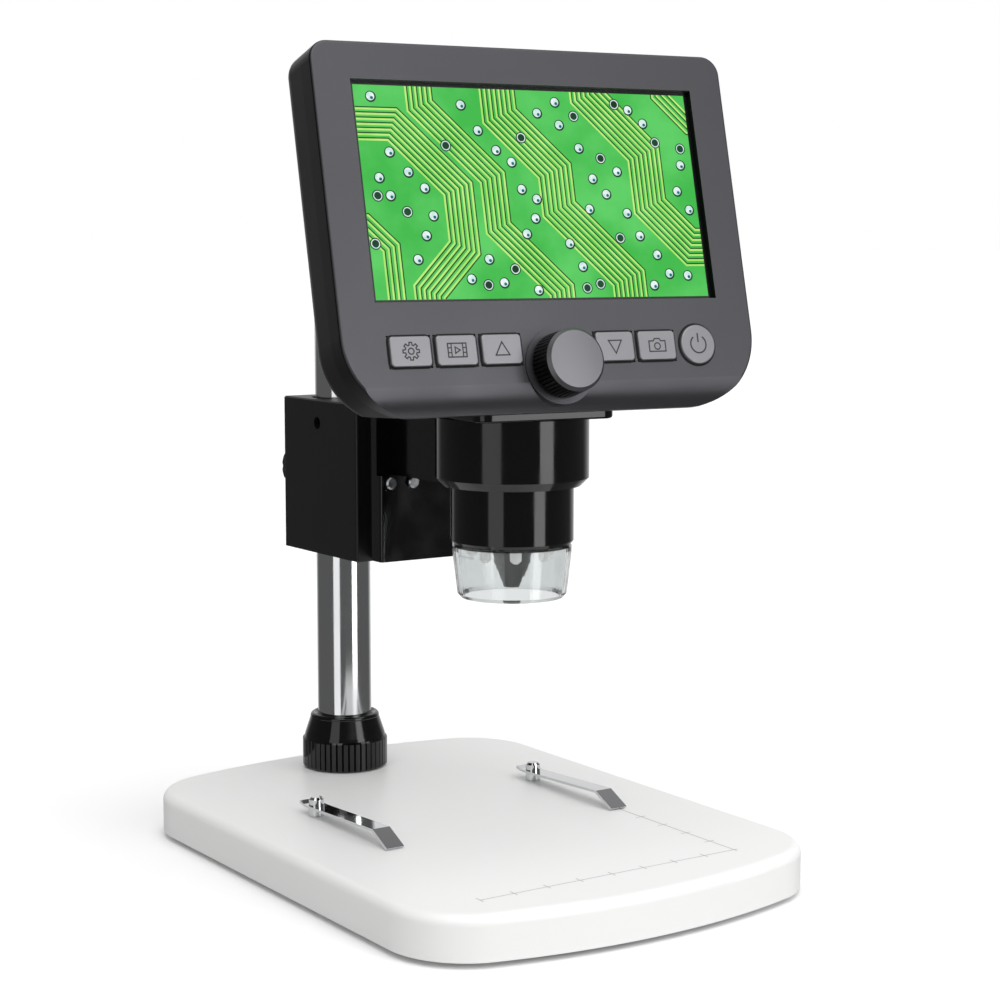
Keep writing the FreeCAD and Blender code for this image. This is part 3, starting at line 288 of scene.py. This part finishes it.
def corner_sides(points, half, closed):
    """The left and right points of a strip round each point of a path, mitred at the corners."""
    sides = []
    count = len(points)
    for index, point in enumerate(points):
        here = Vector(point)
        before = Vector(points[index - 1]) if index or closed else None
        after = Vector(points[(index + 1) % count]) if index < count - 1 or closed else None
        arriving = (here - before).normalized() if before is not None else (after - here).normalized()
        leaving = (after - here).normalized() if after is not None else arriving
        middle = (arriving + leaving).normalized()
        normal = Vector((-middle.y, middle.x))
        reach = half / max(0.35, normal.dot(Vector((-arriving.y, arriving.x))))
        sides.append((here + normal * reach, here - normal * reach))
    return sides


def beside(points, distance):
    """A path moved sideways by a distance."""
    return [tuple(left) for left, right in corner_sides(points, distance, False)]


def add_strip(shape, points, width, closed=False):
    """Sweep a short edge along a path, as a flat strip."""
    sides = corner_sides(points, width / 2, closed)
    if closed:
        sides.append(sides[0])
    ends = [shape.verts.new((side.x, side.y, 0)) for side in sides[0]]
    edge = shape.edges.new(ends)
    for left, right in sides[1:]:
        grown = bmesh.ops.extrude_edge_only(shape, edges=[edge])["geom"]
        fresh = [part for part in grown if isinstance(part, bmesh.types.BMVert)]
        fresh.sort(key=lambda vert: (vert.co - ends[0].co).length)
        fresh[0].co = (left.x, left.y, 0)
        fresh[1].co = (right.x, right.y, 0)
        edge = [part for part in grown if isinstance(part, bmesh.types.BMEdge) and fresh[0] in part.verts
                and fresh[1] in part.verts][0]
        ends = fresh


def add_disc(shape, x, y, radius, segments=20):
    bmesh.ops.create_circle(shape, cap_ends=True, segments=segments, radius=radius,
                            matrix=Matrix.Translation((x, y, 0)))


def add_plate(shape, left, bottom, right, top):
    place = Matrix.Translation(((left + right) / 2, (bottom + top) / 2, 0))
    bmesh.ops.create_grid(shape, x_segments=1, y_segments=1, size=0.5,
                          matrix=place @ Matrix.Diagonal((right - left, top - bottom, 1, 1)))


def ring_points(x, y, radius, count=20, start=0.0, sweep=360.0):
    """Points round a circle, or part of one, counted from the top."""
    steps = count if sweep >= 360 else count - 1
    angles = [math.radians(90 - start - sweep * step / steps) for step in range(count)]
    return [(x + radius * math.cos(angle), y + radius * math.sin(angle)) for angle in angles]


def trim_to(shape, half_width, half_height):
    """Cut away what lies outside a rectangle round the middle."""
    for axis, half in ((Vector((1, 0, 0)), half_width), (Vector((0, 1, 0)), half_height)):
        for side in (1, -1):
            geometry = shape.verts[:] + shape.edges[:] + shape.faces[:]
            bmesh.ops.bisect_plane(shape, geom=geometry, plane_co=axis * side * half, plane_no=axis * side,
                                   clear_outer=True)


def finish_flat(name, shape, low, high, place, body, material):
    """Thicken flat faces from low to high, and put them on a body of the frame."""
    bmesh.ops.remove_doubles(shape, verts=shape.verts, dist=0.0005)
    grown = bmesh.ops.extrude_face_region(shape, geom=shape.faces[:])["geom"]
    raised = [part for part in grown if isinstance(part, bmesh.types.BMVert)]
    bmesh.ops.translate(shape, verts=raised, vec=(0, 0, high - low))
    bmesh.ops.translate(shape, verts=shape.verts, vec=(0, 0, low))
    bmesh.ops.recalc_face_normals(shape, faces=shape.faces)
    bmesh.ops.transform(shape, matrix=place, verts=shape.verts)
    mesh = bpy.data.meshes.new(name)
    shape.to_mesh(mesh)
    shape.free()
    mesh.materials.append(material)
    item = bpy.data.objects.new(name, mesh)
    bpy.context.collection.objects.link(item)
    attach(item, body)
    return item


# The screen's picture: a made-up circuit board seen close, with its own layout
SCREEN_HALF_WIDTH = 47.5
SCREEN_HALF_HEIGHT = 26.95


def lit_pixels(name, low, high, patch_mm):
    """Display pixels: they shine in their own colour and hardly reflect. The colour drifts in patches."""
    material, tree, shader, place = start_material(name, "#050505", 0.3)
    shader.inputs["Specular IOR Level"].default_value = 0.15
    shader.inputs["Emission Strength"].default_value = 1.0
    noise = add_node(tree, "ShaderNodeTexNoise", Vector=place, Scale=1.0 / (patch_mm * MM), Detail=4.0)
    spread = add_node(tree, "ShaderNodeMapRange", Value=noise.outputs["Fac"], From_Min=0.35, From_Max=0.65)
    drift = add_node(tree, "ShaderNodeMix", {"data_type": "RGBA"}, Factor=spread.outputs["Result"],
                     i6=linear(low), i7=linear(high))
    tree.links.new(drift.outputs[2], shader.inputs["Emission Color"])
    return material


def bundle(path, count, pitch):
    """Parallel tracks side by side along a path."""
    return [beside(path, (index - (count - 1) / 2) * pitch) for index in range(count)]


tracks = []
tracks += bundle([(-60, 17), (-38, 17), (-22, 1), (-22, -14), (-33, -25), (-33, -40)], 7, 1.3)
tracks += bundle([(-30, 40), (-30, 22), (-12, 4), (-12, -9), (4, -25), (4, -40)], 6, 1.35)
tracks += bundle([(-8, 40), (-8, 20), (6, 6), (6, -4), (24, -22), (24, -40)], 8, 1.35)
tracks += bundle([(18, 40), (18, 26), (33, 11), (33, -3), (44, -14), (60, -14)], 8, 1.35)
tracks += bundle([(60, 19), (48, 19), (40, 27), (40, 40)], 4, 1.4)
tracks += bundle([(-60, -8), (-48, -8), (-42, -14), (-42, -40)], 4, 1.4)

pads = [(-43, 24), (-39.5, 10), (-35, 5), (-31, 1), (-43, 3.5), (-40.5, -1), (-18.5, 22.5), (-14.5, 16),
        (-10, 11), (-6, 8), (-4, 1), (0, -1.5), (-1, -6.5), (-4, -10.5), (-2.5, -25), (-29.5, -6),
        (-32, -11), (-35, -17), (-15.5, -17), (-12, -23), (-21, -22), (3, 21), (9, 18), (8.5, 24),
        (14, 12), (17, 4), (20.5, 0), (24.5, 6), (15, -4), (26, -5), (29, -11), (8, -13), (11, -19),
        (33.5, -16), (36.5, -21), (42, -21.5), (44, 8), (42, 1), (30, 22.5), (34, 19), (45, -4),
        (31.5, -24)]
vias = [(-8.5, -19.5), (-16.5, -23.5), (15.5, -23.5), (11.5, -24.5), (13.5, 20.5), (26, 24), (37, 14),
        (44.5, 12.5), (-44, -1), (-46, -13), (20, 9.5), (23, -11.5), (-36.5, -5), (-24, 12),
        (-2.5, 14.5)]

ground = bmesh.new()
add_plate(ground, -SCREEN_HALF_WIDTH, -SCREEN_HALF_HEIGHT, SCREEN_HALF_WIDTH, SCREEN_HALF_HEIGHT)
finish_flat("screen_ground", ground, -0.04, 0.06, face_place, "head",
            lit_pixels("lit_green", "#3DB948", "#5CCE63", 16.0))

light_tracks = bmesh.new()
dark_tracks = bmesh.new()
for track in tracks:
    add_strip(light_tracks, track, 0.5)
    add_strip(dark_tracks, beside(track, 0.42), 0.34)
for name, shape, colours, top in (("screen_tracks_light", light_tracks, ("#A6E667", "#C6F080"), 0.08),
                                  ("screen_tracks_dark", dark_tracks, ("#07481A", "#0E6026"), 0.09)):
    trim_to(shape, SCREEN_HALF_WIDTH - 0.02, SCREEN_HALF_HEIGHT - 0.02)
    finish_flat(name, shape, 0.05, top, face_place, "head", lit_pixels(name + "_lit", *colours, 7.0))

pad_rings = bmesh.new()
pad_tops = bmesh.new()
pad_spots = bmesh.new()
for x, y in pads:
    add_disc(pad_rings, x, y, 1.45)
    add_disc(pad_tops, x - 0.08, y + 0.1, 1.1)
    add_disc(pad_spots, x + 0.25, y - 0.3, 0.42, 12)
for x, y in vias:
    add_disc(pad_rings, x, y, 1.5)
    add_strip(pad_tops, ring_points(x, y, 1.1, 18), 0.24, closed=True)
finish_flat("screen_pad_rings", pad_rings, 0.05, 0.10, face_place, "head",
            lit_pixels("lit_dark_green", "#06301A", "#0B4A2A", 3.0))
finish_flat("screen_pads", pad_tops, 0.05, 0.12, face_place, "head",
            lit_pixels("lit_silver", "#BFE3DC", "#F2FBFA", 1.2))
finish_flat("screen_pad_spots", pad_spots, 0.05, 0.14, face_place, "head",
            lit_pixels("lit_spot", "#0B5A66", "#11788A", 2.0))


# Marks let into the keys
KEY_FACE = 2.6
KEY_ROW = -40.2
KEY_PITCH = 12.4


def add_loop(shape, x, y, points, width=0.34):
    add_strip(shape, [(x + px, y + py) for px, py in points], width, closed=True)


def gear_points(inner, outer, teeth):
    """A cog's outline."""
    points = []
    for index in range(teeth):
        for turn, radius in ((-0.34, inner), (-0.2, outer), (0.2, outer), (0.34, inner)):
            angle = 2 * math.pi * (index + turn) / teeth
            points.append((radius * math.cos(angle), radius * math.sin(angle)))
    return points


def draw_menu(shape, x, y):
    add_loop(shape, x, y, gear_points(1.55, 2.2, 8))
    add_loop(shape, x, y, ring_points(0, 0, 0.75, 14))


def draw_playback(shape, x, y):
    add_loop(shape, x, y, [(-2.5, -1.7), (2.5, -1.7), (2.5, 1.7), (-2.5, 1.7)])
    for side in (-1, 1):
        add_strip(shape, [(x + side * 1.55, y - 1.7), (x + side * 1.55, y + 1.7)], 0.3)
        for level in (-0.6, 0.6):
            middle = x + side * 2.05
            add_strip(shape, [(middle - 0.4, y + level), (middle + 0.4, y + level)], 0.3)
    add_loop(shape, x, y, [(-0.55, -0.8), (0.8, 0), (-0.55, 0.8)], 0.3)


def draw_up(shape, x, y):
    add_loop(shape, x, y, [(-1.9, -1.5), (1.9, -1.5), (0, 1.8)])


def draw_down(shape, x, y):
    add_loop(shape, x, y, [(-1.9, 1.5), (0, -1.8), (1.9, 1.5)])


def draw_snapshot(shape, x, y):
    add_loop(shape, x, y, [(-2.4, -1.6), (2.4, -1.6), (2.4, 1.1), (1.1, 1.1), (0.7, 1.7), (-0.7, 1.7),
                           (-1.1, 1.1), (-2.4, 1.1)])
    add_loop(shape, x, y, ring_points(0, -0.25, 0.85, 14))


def draw_power(shape, x, y):
    add_strip(shape, ring_points(x, y, 2.3, 22, 35.0, 290.0), 0.4)
    add_strip(shape, [(x, y + 0.5), (x, y + 2.9)], 0.4)


key_ink = plain_moulding("filled_mark", "#222224", "#29292B", 0.5)
for key_name, step, draw in (("menu", -3.3, draw_menu), ("playback", -2.3, draw_playback),
                             ("up", -1.3, draw_up), ("down", 1.3, draw_down),
                             ("snapshot", 2.3, draw_snapshot), ("power", 3.3, draw_power)):
    mark = bmesh.new()
    draw(mark, step * KEY_PITCH, KEY_ROW)
    finish_flat("mark_" + key_name, mark, KEY_FACE - 0.03, KEY_FACE + 0.02, face_place, "button_" + key_name,
                key_ink)


# The gaps round the keys: thin black rings laid on the head's face, painted shade for the gaps
HEAD_FACE = 1.7
KEY_HALF_WIDTH = 5.7
KEY_HALF_HEIGHT = 3.95
KEY_CORNER = 1.3
POWER_RADIUS = 5.35
GAP_SHADE_WIDTH = 0.65
RECTANGULAR_KEYS = (-3.3, -2.3, -1.3, 1.3, 2.3)
POWER_KEY = 3.3


def rounded_corners(x, y, half_width, half_height, radius):
    """A rectangle's outline with rounded corners."""
    points = []
    for side_x, side_y, start in ((1, 1, 0), (1, -1, 90), (-1, -1, 180), (-1, 1, 270)):
        points += ring_points(x + side_x * (half_width - radius), y + side_y * (half_height - radius), radius,
                              6, start, 90.0)
    return points


gap_shade = bmesh.new()
for step in RECTANGULAR_KEYS:
    add_strip(gap_shade, rounded_corners(step * KEY_PITCH, KEY_ROW, KEY_HALF_WIDTH, KEY_HALF_HEIGHT, KEY_CORNER),
              GAP_SHADE_WIDTH, closed=True)
add_strip(gap_shade, ring_points(POWER_KEY * KEY_PITCH, KEY_ROW, POWER_RADIUS, 36), GAP_SHADE_WIDTH, closed=True)
finish_flat("key_gap_shade", gap_shade, HEAD_FACE - 0.3, HEAD_FACE + 0.03, face_place, "head",
            plain_moulding("shadow_gap", "#030303", "#060606", 0.7))

# Ruler printed on the stage: two lines with a tick every 9.8 mm, as the photograph measures
STAGE_TOP = 12.8
RULER_CORNER = (36.8, -69.4)
TICK_PITCH = 9.8
ruler = bmesh.new()
corner_x, corner_y = RULER_CORNER
add_strip(ruler, [(corner_x - 8 * TICK_PITCH, corner_y), (corner_x + 1.2, corner_y)], 0.42)
add_strip(ruler, [(corner_x, corner_y - 1.2), (corner_x, corner_y + 5 * TICK_PITCH)], 0.42)
for step in range(1, 9):
    tick = corner_x - step * TICK_PITCH
    add_strip(ruler, [(tick, corner_y - 1.4), (tick, corner_y + 1.8)], 0.36)
for step in range(1, 6):
    tick = corner_y + step * TICK_PITCH
    add_strip(ruler, [(corner_x - 1.8, tick), (corner_x + 1.4, tick)], 0.36)
finish_flat("stage_ruler", ruler, STAGE_TOP - 0.02, STAGE_TOP + 0.02, stage_place, "stand",
            plain_moulding("printed_grey_ink", "#BDBDBD", "#C6C6C6", 0.5))


# Studio: a white sweep behind the object, a darker room behind the camera, and soft boxes between.
# Reflections see a room of their own: they pass through the floor to a darker world and to the parts of
# the soft boxes below it, so chrome shows bands and black stays deep. They don't show the pale background.
ROOM_LEVEL = 0.3
SWEEP_LEVEL = 0.55
REFLECTED_ROOM = 0.12
REFLECTED_SWEEP = 0.8
SWEEP_DIRECTION = (0.54, 0.81, 0.22)
FLOOR_GLOW = 0.05
SUN_STRENGTH = 2.05
SUN_SPREAD = 75
SUN_TILT = 28


def seen_directly(tree):
    """One where the camera looks, also through clear plastic. Reflections get zero."""
    path = add_node(tree, "ShaderNodeLightPath")
    seen = add_node(tree, "ShaderNodeMath", {"operation": "MAXIMUM"}, i0=path.outputs["Is Camera Ray"],
                    i1=path.outputs["Is Transmission Ray"])
    return path, seen.outputs[0]


world = bpy.data.worlds.new("studio")
bpy.context.scene.world = world
world.use_nodes = True
sky = world.node_tree
sky.nodes.clear()
path, seen = seen_directly(sky)
ray = add_node(sky, "ShaderNodeTexCoord").outputs["Generated"]
towards = add_node(sky, "ShaderNodeVectorMath", {"operation": "DOT_PRODUCT"}, i0=ray,
                   i1=SWEEP_DIRECTION)
room = add_node(sky, "ShaderNodeMapRange", {"interpolation_type": "SMOOTHSTEP"},
                Value=towards.outputs["Value"], From_Min=-0.35, From_Max=0.35, To_Min=ROOM_LEVEL,
                To_Max=SWEEP_LEVEL)
reflected = add_node(sky, "ShaderNodeMapRange", {"interpolation_type": "SMOOTHSTEP"},
                     Value=towards.outputs["Value"], From_Min=0.6, From_Max=0.95, To_Min=REFLECTED_ROOM,
                     To_Max=REFLECTED_SWEEP)
around = add_node(sky, "ShaderNodeMix", {"data_type": "FLOAT"}, i0=path.outputs["Is Glossy Ray"],
                  i2=room.outputs["Result"], i3=reflected.outputs["Result"])
level = add_node(sky, "ShaderNodeMix", {"data_type": "FLOAT"}, i0=seen, i2=around.outputs[0], i3=1.0)
backdrop = add_node(sky, "ShaderNodeBackground", Color=linear("#FFFFFF"), Strength=level.outputs[0])
add_node(sky, "ShaderNodeOutputWorld", Surface=backdrop.outputs["Background"])


def soft_box(name, place, aim, width, height, power):
    """A rectangular lamp that faces a point."""
    lamp = bpy.data.lights.new(name, "AREA")
    lamp.shape = "RECTANGLE"
    lamp.size = width
    lamp.size_y = height
    lamp.energy = power
    item = bpy.data.objects.new(name, lamp)
    item.location = place
    item.rotation_euler = (Vector(aim) - Vector(place)).to_track_quat("-Z", "Y").to_euler()
    bpy.context.collection.objects.link(item)


soft_box("right_soft_box", (0.37, -1.14, 0.04), (0, 0, 0.04), 0.45, 1.2, 5.6)
soft_box("left_soft_box", (-1.07, -0.54, 0.15), (0, 0, 0.15), 0.6, 1.3, 2.6)

overhead = bpy.data.lights.new("overhead_sweep", "SUN")
overhead.energy = SUN_STRENGTH
overhead.angle = math.radians(SUN_SPREAD)
overhead_item = bpy.data.objects.new("overhead_sweep", overhead)
overhead_item.rotation_euler = (math.radians(SUN_TILT), 0, 0)
bpy.context.collection.objects.link(overhead_item)

floor_mesh = bmesh.new()
bmesh.ops.create_grid(floor_mesh, x_segments=1, y_segments=1, size=30.0)
floor_data = bpy.data.meshes.new("floor")
floor_mesh.to_mesh(floor_data)
floor_mesh.free()
floor = bpy.data.objects.new("floor", floor_data)
bpy.context.collection.objects.link(floor)
floor.location = (0, 0, -0.0002)
paper = bpy.data.materials.new("backdrop_paper")
paper.use_nodes = True
tree = paper.node_tree
tree.nodes.clear()
path, seen = seen_directly(tree)
lit = add_node(tree, "ShaderNodeBsdfDiffuse", Color=linear("#FFFFFF"))
plain = add_node(tree, "ShaderNodeBsdfDiffuse", Color=linear("#D8D8D8"))
glow = add_node(tree, "ShaderNodeEmission", Color=linear("#FFFFFF"), Strength=FLOOR_GLOW)
bright = add_node(tree, "ShaderNodeAddShader", i0=lit.outputs[0], i1=glow.outputs[0])
shown = add_node(tree, "ShaderNodeMixShader", Fac=seen, i1=plain.outputs[0], i2=bright.outputs[0])
through = add_node(tree, "ShaderNodeBsdfTransparent")
mix = add_node(tree, "ShaderNodeMixShader", Fac=path.outputs["Is Glossy Ray"], i1=shown.outputs[0],
               i2=through.outputs[0])
add_node(tree, "ShaderNodeOutputMaterial", Surface=mix.outputs[0])
floor_data.materials.append(paper)

# The camera stands where the photograph's did
lens = bpy.data.cameras.new("camera")
lens.lens = 78.68
lens.sensor_width = 36.0
camera = bpy.data.objects.new("camera", lens)
camera.location = (-0.31948, -0.49235, 0.16845)
camera.rotation_euler = (math.radians(83.28), 0, math.radians(-33.84))
bpy.context.collection.objects.link(camera)
bpy.context.scene.camera = camera
bpy.context.scene.view_settings.view_transform = "Standard"
